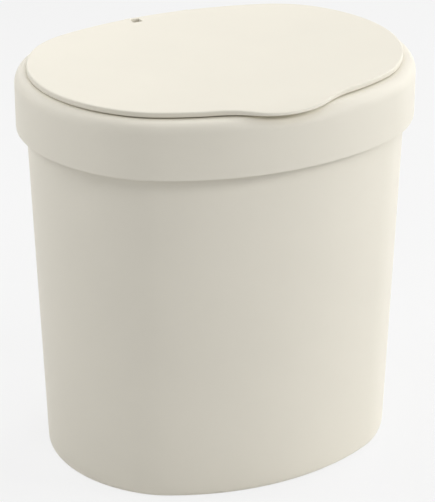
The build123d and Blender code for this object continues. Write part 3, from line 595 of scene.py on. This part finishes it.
barrel_radius = 2.6
pin_hole = 1.25
barrel_span = (13.1, 19.6)
arm_edge_round = 0.25
arm_edge_angle = 50.0  # degrees, above which an edge is rounded
heel_reach = 4.4  # from the pin to the heel that stops the lid
heel_angles = (-50, -56, -61, -66, -72)
neck_back = [  # (y, z), from the lid's rear edge down to the barrel
    (78.4, 223.9),
    (79.4, 224.1),
    (80.9, 223.85),
    (82.3, 222.9),
    (83.4, 221.4),
    (84.1, 219.4),
    (84.4, 217.2),
]
neck_front = [(-2.55, 0.7), (-3.2, 5.5), (-3.6, 5.7)]  # from the pin, up from the barrel to the lid


def hinge_arm(side):
    """Arm from the lid's rear edge to the pin: a neck, a barrel with its bore, and a stopping heel."""
    outline = [(y - hinge_y, z - hinge_z) for y, z in neck_back]
    outline += along((0, 0), barrel_radius, 12, -42, 8)
    outline += [(heel_reach * cos(radians(angle)), heel_reach * sin(radians(angle))) for angle in heel_angles]
    outline += along((0, 0), barrel_radius, -80, -192, 16)
    outline += neck_front
    loops = [outline, along((0, 0), pin_hole, 0, 360, 24)]
    flat = [point for loop in loops for point in loop]
    points = [(side * x, hinge_y + y, hinge_z + z) for x in barrel_span for y, z in flat]
    other = len(flat)
    faces = [tuple(start + i for i in face) for start in (0, other) for face in sheet_faces(loops)]
    first = 0
    for loop in loops:
        for i in range(len(loop)):
            a, b = first + i, first + (i + 1) % len(loop)
            faces.append((a, b, other + b, other + a))
        first += len(loop)
    return edges_rounded(mesh_from("hinge_arm", points, faces), arm_edge_round, arm_edge_angle)


lid_boss_places = [(x, y) for x in (-58.0, 58.0) for y in (-34.0, 38.0)]
boss_outline = (  # (radius, height): the screw's hole, the boss's foot and its side
    (1.42, 222.7),
    (1.42, 217.3),
    (1.7, 217.0),
    (3.0, 217.0),
    (3.2, 217.2),
    (3.2, 222.3),
    (3.6, 222.7),
)


def make_lid():
    """Lid cover with its hinge arms and the bosses for the liner's screws."""
    parts = [lid_shell(), hinge_arm(-1), hinge_arm(1)]
    parts += [turned("lid_boss", place, boss_outline) for place in lid_boss_places]
    finished(smoothed(joined("lid_panel", parts)), "lid", "lid_plastic", "lid_cover")


# ---------------------------------------------------------------- wires
cut_round = 0.25  # share of a wire's radius, at its cut ends
cut_edge_angle = 60.0


def wire(name, path, radius, sides=14):
    """Round wire along a path of points in millimetres, with rounded-off ends."""
    points, faces = [], []
    side_way = None
    count = len(path)
    for i, place in enumerate(path):
        ahead = (path[min(i + 1, count - 1)] - path[max(i - 1, 0)]).normalized()
        if side_way is None:
            side_way = ahead.orthogonal().normalized()
        side_way = (side_way - ahead * side_way.dot(ahead)).normalized()
        across = ahead.cross(side_way)
        for turn in range(sides):
            angle = 2 * pi * turn / sides
            points.append(place + (side_way * cos(angle) + across * sin(angle)) * radius)
    for i in range(count - 1):
        for turn in range(sides):
            a, b = i * sides + turn, i * sides + (turn + 1) % sides
            faces.append((a, b, b + sides, a + sides))
    faces.append(tuple(range(sides)))
    faces.append(tuple((count - 1) * sides + turn for turn in range(sides)))
    return smoothed(edges_rounded(mesh_from(name, points, faces), radius * cut_round, cut_edge_angle))


def rounded_path(corners, bend, steps=6):
    """Straight runs joined by bends of a radius."""
    path = [corners[0]]
    for before, corner_point, after in zip(corners, corners[1:], corners[2:]):
        back = (before - corner_point).normalized()
        forth = (after - corner_point).normalized()
        half = back.angle(forth) / 2
        reach = bend / tan(half)
        middle = corner_point + (back + forth).normalized() * (bend / sin(half))
        start, end = corner_point + back * reach - middle, corner_point + forth * reach - middle
        for i in range(steps + 1):
            path.append(middle + start.slerp(end, i / steps))
    return path + [corners[-1]]


coil_radius = 2.0
coil_wire = 0.45
coil_start_x = -11.9
coil_pitch = 1.2
coil_turns = 6 + 60 / 360
coil_step = 1 / 36  # of a turn
short_turn = 0.001  # of a turn, over which a leg's direction is taken
lid_leg_turns = 0.5  # of the coil, that go with the lid's leg
coil_start_angle = 60.0
spring_leg_length = 9.2
rear_leg_end = 209.55


def coil_point(turns):
    """Point of the torsion spring's coil after some turns."""
    angle = radians(coil_start_angle) - 2 * pi * turns
    across = hinge_y + coil_radius * cos(angle)
    return Vector((coil_start_x + coil_pitch * turns, across, hinge_z + coil_radius * sin(angle)))


def make_torsion_spring():
    """Torsion spring round the hinge pin: a leg up into the lid, the coil, and a leg down to the retainer."""
    start_way = (coil_point(0.0) - coil_point(short_turn)).normalized()
    end_way = (coil_point(coil_turns) - coil_point(coil_turns - short_turn)).normalized()
    leg = [coil_point(0.0) + start_way * spring_leg_length]
    leg += [coil_point(coil_step * i) for i in range(round(lid_leg_turns / coil_step) + 1)]
    finished(wire("spring_lid_leg", leg, coil_wire), "lid", "spring_steel", "torsion_spring")
    wound_steps = int((coil_turns - lid_leg_turns) / coil_step)
    wound = [coil_point(lid_leg_turns + coil_step * i) for i in range(wound_steps + 1)]
    last = coil_point(coil_turns)
    wound += [last, last + end_way * ((rear_leg_end - last.z) / end_way.z)]
    finished(wire("spring_coil", wound, coil_wire), "collar_unit", "spring_steel", "torsion_spring")


catch_spring_turns = 4.5
catch_spring_foot = 188.8
catch_spring_top = 196.0
catch_spring_radius = 2.5
catch_spring_wire = 0.3
catch_spring_steps = 32  # a turn


def make_catch_spring():
    """Compression spring under the catch's slider."""
    path = []
    rise = catch_spring_top - catch_spring_foot - 2 * catch_spring_wire
    steps = int(catch_spring_turns * catch_spring_steps)
    for i in range(steps + 1):
        share = i / steps
        angle = 2 * pi * catch_spring_turns * share
        x, y = catch_spring_radius * cos(angle), catch_y + catch_spring_radius * sin(angle)
        path.append(Vector((x, y, catch_spring_foot + catch_spring_wire + rise * share)))
    spring = wire("catch_spring", path, catch_spring_wire, 12)
    finished(spring, "collar_unit", "spring_steel", "latch_spring")


follower_corners = [(-66.83, 190.4), (-68.35, 190.4), (-68.35, 203.6), (-69.8, 203.6)]  # (y, z)
follower_bend = 0.6
follower_wire_radius = 0.43


def make_cam_follower():
    """Bent wire whose upper end runs in the slider's heart-shaped track."""
    path = rounded_path([Vector((0, y, z)) for y, z in follower_corners], follower_bend)
    follower = wire("follower_wire", path, follower_wire_radius)
    finished(follower, "collar_unit", "spring_steel", "cam_follower")


# ---------------------------------------------------------------- screws
def tree_node(tree, kind, links=(), **settings):
    """Node with its settings; links are (socket name, value or socket of another node)."""
    node = tree.nodes.new(kind)
    for name, value in settings.items():
        setattr(node, name, value)
    for name, value in links:
        if isinstance(value, bpy.types.NodeSocket):
            tree.links.new(value, node.inputs[name])
        else:
            node.inputs[name].default_value = value
    return node


def raised(tree, mesh, height):
    """Geometry lifted by a height inside a tree."""
    offset = tree_node(tree, "ShaderNodeCombineXYZ", (("Z", height),)).outputs["Vector"]
    placed = tree_node(tree, "GeometryNodeTransform", (("Geometry", mesh), ("Translation", offset)))
    return placed.outputs["Geometry"]


pan_share = 0.45  # of the head's height, that is its narrowing pan
pan_face = 0.66  # of the head's radius, at the driving face
point_share = 0.2  # of the shank's length
point_end = 0.3  # of the shank's radius
thread_share = 0.84  # of the shank's length
head_sides = 32
shank_sides = 20


def make_screw_tree():
    """Geometry Nodes tree: a pan head screw with a cross recess and a rolled thread at every given point."""
    tree = bpy.data.node_groups.new("pan_screws", "GeometryNodeTree")
    sizes = (
        ("Head radius", 0.0027),
        ("Head height", 0.002),
        ("Shank radius", 0.0011),
        ("Crest radius", 0.00124),
        ("Shank length", 0.006),
        ("Thread pitch", 0.0012),
        ("Recess width", 0.0006),
        ("Recess length", 0.0029),
        ("Recess depth", 0.0012),
    )
    tree.interface.new_socket(name="Geometry", in_out="INPUT", socket_type="NodeSocketGeometry")
    for name, value in sizes:
        socket = tree.interface.new_socket(name=name, in_out="INPUT", socket_type="NodeSocketFloat")
        socket.default_value = value
    tree.interface.new_socket(name="Finish", in_out="INPUT", socket_type="NodeSocketMaterial")
    tree.interface.new_socket(name="Geometry", in_out="OUTPUT", socket_type="NodeSocketGeometry")
    entry = tree.nodes.new("NodeGroupInput").outputs
    result = tree.nodes.new("NodeGroupOutput")
    head_radius, head_height = entry["Head radius"], entry["Head height"]
    shank_radius, length = entry["Shank radius"], entry["Shank length"]

    def times(first, second):
        return math_node(tree, "MULTIPLY", first, second)

    def above_head(share):
        return math_node(tree, "ADD", head_height, times(length, share))

    # Head: a disc against the clamped piece, and below it a pan that narrows to the driving face at height 0.
    pan = tree_node(
        tree,
        "GeometryNodeMeshCone",
        (
            ("Vertices", head_sides),
            ("Side Segments", 1),
            ("Radius Top", head_radius),
            ("Radius Bottom", times(head_radius, pan_face)),
            ("Depth", times(head_height, pan_share)),
        ),
        fill_type="NGON",
    ).outputs["Mesh"]
    disc = tree_node(
        tree,
        "GeometryNodeMeshCylinder",
        (
            ("Vertices", head_sides),
            ("Radius", head_radius),
            ("Depth", times(head_height, 1 - pan_share)),
        ),
        fill_type="NGON",
    ).outputs["Mesh"]
    disc = raised(tree, disc, times(head_height, (1 + pan_share) / 2))
    blank = tree_node(tree, "GeometryNodeMeshBoolean", (), operation="UNION", solver="EXACT")
    tree.links.new(pan, blank.inputs["Mesh 2"])
    tree.links.new(disc, blank.inputs["Mesh 2"])
    recessed = tree_node(tree, "GeometryNodeMeshBoolean", (), operation="DIFFERENCE", solver="EXACT")
    tree.links.new(blank.outputs["Mesh"], recessed.inputs["Mesh 1"])
    for x, y in (("Recess width", "Recess length"), ("Recess length", "Recess width")):
        spans = (("X", entry[x]), ("Y", entry[y]), ("Z", times(entry["Recess depth"], 2.0)))
        size = tree_node(tree, "ShaderNodeCombineXYZ", spans).outputs["Vector"]
        bar = tree_node(tree, "GeometryNodeMeshCube", (("Size", size),)).outputs["Mesh"]
        tree.links.new(bar, recessed.inputs["Mesh 2"])
    # Shank with a pointed end, and its thread.
    core_sizes = (
        ("Vertices", shank_sides),
        ("Radius", shank_radius),
        ("Depth", times(length, 1 - point_share)),
    )
    core = tree_node(tree, "GeometryNodeMeshCylinder", core_sizes).outputs["Mesh"]
    core = raised(tree, core, above_head((1 - point_share) / 2))
    point_sizes = (
        ("Vertices", shank_sides),
        ("Radius Top", times(shank_radius, point_end)),
        ("Radius Bottom", shank_radius),
        ("Depth", times(length, point_share)),
    )
    point = tree_node(tree, "GeometryNodeMeshCone", point_sizes).outputs["Mesh"]
    point = raised(tree, point, above_head(1 - point_share))
    spiral_sizes = (
        ("Resolution", 20),
        ("Rotations", math_node(tree, "DIVIDE", times(length, thread_share), entry["Thread pitch"])),
        ("Start Radius", shank_radius),
        ("End Radius", shank_radius),
        ("Height", times(length, thread_share)),
    )
    spiral = tree_node(tree, "GeometryNodeCurveSpiral", spiral_sizes).outputs["Curve"]
    crest = math_node(tree, "SUBTRACT", entry["Crest radius"], shank_radius)
    ridge_sizes = (("Resolution", 4), ("Radius", crest))
    ridge = tree_node(tree, "GeometryNodeCurvePrimitiveCircle", ridge_sizes, mode="RADIUS").outputs["Curve"]
    swept = (("Curve", spiral), ("Profile Curve", ridge), ("Fill Caps", True))
    thread = raised(tree, tree_node(tree, "GeometryNodeCurveToMesh", swept).outputs["Mesh"], head_height)
    whole = tree.nodes.new("GeometryNodeJoinGeometry")
    for mesh in (recessed.outputs["Mesh"], core, point, thread):
        tree.links.new(mesh, whole.inputs["Geometry"])
    # One at every point, each turned a little differently as it was driven home.
    turn = tree_node(tree, "FunctionNodeRandomValue", (("Seed", 5),), data_type="FLOAT_VECTOR")
    turn.inputs["Min"].default_value = (0.0, 0.0, 0.0)
    turn.inputs["Max"].default_value = (0.0, 0.0, pi / 2)
    placing = (
        ("Points", entry["Geometry"]),
        ("Instance", whole.outputs["Geometry"]),
        ("Rotation", turn.outputs["Value"]),
    )
    placed = tree_node(tree, "GeometryNodeInstanceOnPoints", placing).outputs["Instances"]
    real = tree_node(tree, "GeometryNodeRealizeInstances", (("Geometry", placed),)).outputs["Geometry"]
    named = tree_node(tree, "GeometryNodeSetMaterial", (("Geometry", real), ("Material", entry["Finish"])))
    tree.links.new(named.outputs["Geometry"], result.inputs["Geometry"])
    return tree


screw_tree = make_screw_tree()


def set_input(modifier, name, value):
    """Set a modifier's input by its socket's identifier."""
    for item in modifier.node_group.interface.items_tree:
        if item.name == name and item.in_out == "INPUT":
            modifier[item.identifier] = value


screw_edge_angle = 30.0  # degrees, above which a screw's edges stay sharp
screw_rows = {  # places in plan, height of the driving faces, shank length, body and node
    "lid_liner_screws": (lid_boss_places, 213.4, 5.5, "lid", "lid_screws"),
    "hinge_retainer_screws": ([(-29.0, 77.5), (29.0, 77.5)], 207.0, 7.5, "collar_unit", "hinge_screws"),
    "catch_screws": ([(-14.5, catch_y), (14.5, catch_y)], 209.0, 6.4, "collar_unit", "latch_screws"),
}


def make_screws(name, places, head_low, length, body, node):
    """Pan head screws of one node, driven upwards, at places in plan."""
    mesh = bpy.data.meshes.new(name)
    mesh.from_pydata([Vector((x, y, head_low)) * MM for x, y in places], [], [])
    piece = link(name, mesh)
    modifier = piece.modifiers.new("screws", "NODES")
    modifier.node_group = screw_tree
    set_input(modifier, "Shank length", length * MM)
    set_input(modifier, "Finish", finishes["screw_steel"])
    finished(smoothed(applied(piece), screw_edge_angle), body, "screw_steel", node)


# ---------------------------------------------------------------- the other pieces
shoulder_low = 213.9  # where the collar's edge begins to round over
shoulder_high = 218.0
shoulder_crown = 0.5
dip_depth = 2.0  # of the shoulder, under the tab
dip_half_width = 42.0
dip_back = -78.0
dip_run = 4.0
mould_edge_angle = 40.0
mould_edges = {  # width of the round on each piece's edges
    "bin_body": 0.35,
    "collar": 0.3,
    "lid_liner": 0.25,
    "striker": 0.2,
    "hinge_retainer": 0.25,
    "latch_housing": 0.2,
    "latch_cover": 0.15,
    "latch_slider": 0.12,
    "jaw_left": 0.12,
    "jaw_right": 0.12,
    "hinge_pin": 0.05,
    "jaw_pins": 0.1,
}


def thumb_dip(x, y):
    """How far the collar's shoulder sinks under the lid's tab, where a thumb goes."""
    across = max(0.0, 1 - (x / dip_half_width) ** 2)
    ahead = min(1.0, max(0.0, (dip_back - y) / dip_run))
    return dip_depth * across**2 * ahead


def crown_shoulder(form):
    """Raise the collar's shoulder into a low crown, and sink it under the tab."""
    for vertex in form.verts:
        x, y, z = vertex.co / MM
        share = min(1.0, max(0.0, (z - shoulder_low) / (shoulder_high - shoulder_low)))
        vertex.co.z += (shoulder_crown - thumb_dip(x, y)) * MM * share


def softened(node, width):
    """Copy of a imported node's mesh with its sharp edges rounded as a mould or a cut leaves them."""
    mesh = nodes[node].data.copy()
    form = bmesh.new()
    form.from_mesh(mesh)
    bmesh.ops.remove_doubles(form, verts=form.verts, dist=merge_distance * MM)
    if node == "collar":
        crown_shoulder(form)
    bmesh.ops.dissolve_limit(form, angle_limit=radians(facet_angle), verts=form.verts, edges=form.edges)
    form.to_mesh(mesh)
    form.free()
    return smoothed(edges_rounded(link(node + "_finish", mesh), width, mould_edge_angle))


def make_rounded_pieces():
    """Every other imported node, with its moulded or cut edges rounded off."""
    bodies = frame["record"]["behaviour"]["bodies"]
    slots = {part["node"]: part["material_slot"] for part in frame["record"]["subparts"]}
    for node, width in mould_edges.items():
        body = next(name for name, members in bodies.items() if node in members)
        finished(softened(node, width), body, slots[node], node)


# ---------------------------------------------------------------- floor and light
floor_reach = 6.0
floor_evenness = 0.85  # share of the floor's look that is the even backdrop, the rest shows shadows
backdrop_level = 0.93
daylight_level = 0.2
daylight_colour = (1.0, 0.995, 0.985, 1.0)
bin_middle = (0.0, 0.0, 0.15)  # where most lamps point
softboxes = {  # place, aim, side and power
    "key_light": ((1.4, -1.1, 1.06), bin_middle, 0.6, 12.0),
    "right_light": ((1.6, 0.2, 1.3), bin_middle, 1.2, 7.5),
    "high_light": ((1.3, 0.6, 1.9), bin_middle, 1.0, 11.7),
    "side_light": ((1.87, -0.21, 0.83), bin_middle, 0.6, 4.8),
    "front_light": ((-0.14, -1.28, 1.68), bin_middle, 0.6, 5.3),
    "low_light": ((0.39, -1.59, 1.3), bin_middle, 0.6, 2.2),
    "fill_light": ((-1.98, 0.04, 0.43), bin_middle, 1.2, 2.85),
    "left_light": ((-0.55, 0.25, 0.62), (-0.05, 0.05, 0.22), 0.4, 1.7),
    "back_light": ((-0.15, 0.55, 0.62), (0.0, 0.05, 0.22), 0.5, 0.96),
}


def background_rays(tree):
    """1 for the rays that see the background: the camera's, and those from metal or through glass."""
    seen = tree.nodes.new("ShaderNodeLightPath")
    mirrored = math_node(tree, "MAXIMUM", seen.outputs["Is Glossy Ray"], seen.outputs["Is Transmission Ray"])
    return math_node(tree, "MAXIMUM", seen.outputs["Is Camera Ray"], mirrored)


def blend_shaders(tree, share, first, second, output):
    """Two shaders blended into an output's surface."""
    blend = tree.nodes.new("ShaderNodeMixShader")
    tree.links.new(share, blend.inputs["Fac"])
    tree.links.new(first, blend.inputs[1])
    tree.links.new(second, blend.inputs[2])
    tree.links.new(blend.outputs["Shader"], tree.nodes[output].inputs["Surface"])


def make_floor():
    """Plain pale floor that shows at one even level, and keeps the bin's shadow."""
    mesh = bpy.data.meshes.new("floor")
    form = bmesh.new()
    bmesh.ops.create_circle(form, cap_ends=True, segments=96, radius=floor_reach)
    form.to_mesh(mesh)
    form.free()
    floor = link("floor", mesh)
    material, tree, shader = new_material("floor_paper")
    shader.inputs["Base Color"].default_value = (0.90, 0.90, 0.90, 1.0)
    shader.inputs["Roughness"].default_value = 0.9
    shader.inputs["Specular IOR Level"].default_value = 0.0
    glow = tree.nodes.new("ShaderNodeEmission")
    glow.inputs["Color"].default_value = (1.0, 1.0, 1.0, 1.0)
    glow.inputs["Strength"].default_value = backdrop_level
    share = math_node(tree, "MULTIPLY", background_rays(tree), floor_evenness)
    blend_shaders(tree, share, shader.outputs["BSDF"], glow.outputs["Emission"], "Material Output")
    mesh.materials.append(material)


def make_world():
    """Even soft daylight from all round, and the pale backdrop that is seen instead of it."""
    world = bpy.data.worlds.new("studio")
    bpy.context.scene.world = world
    world.use_nodes = True
    tree = world.node_tree
    light = tree.nodes["Background"]
    light.inputs["Color"].default_value = daylight_colour
    light.inputs["Strength"].default_value = daylight_level
    backdrop = tree.nodes.new("ShaderNodeBackground")
    backdrop.inputs["Color"].default_value = (backdrop_level, backdrop_level, backdrop_level, 1.0)
    share = background_rays(tree)
    blend_shaders(tree, share, light.outputs["Background"], backdrop.outputs["Background"], "World Output")


def make_softbox(name, place, aim, side, power):
    """Square soft light that points at an aim."""
    data = bpy.data.lights.new(name, "AREA")
    data.shape = "SQUARE"
    data.size = side
    data.energy = power
    lamp = bpy.data.objects.new(name, data)
    lamp.location = place
    lamp.rotation_mode = "QUATERNION"
    lamp.rotation_quaternion = (Vector(aim) - Vector(place)).to_track_quat("-Z", "Y")
    lamp.visible_camera = False
    bpy.context.scene.collection.objects.link(lamp)


bpy.context.scene.view_settings.view_transform = "Standard"
make_camera()
make_lid()
make_torsion_spring()
make_catch_spring()
make_cam_follower()
for screws_name, row in screw_rows.items():
    make_screws(screws_name, *row)
make_rounded_pieces()
make_floor()
make_world()
for light_name, setting in softboxes.items():
    make_softbox(light_name, *setting)
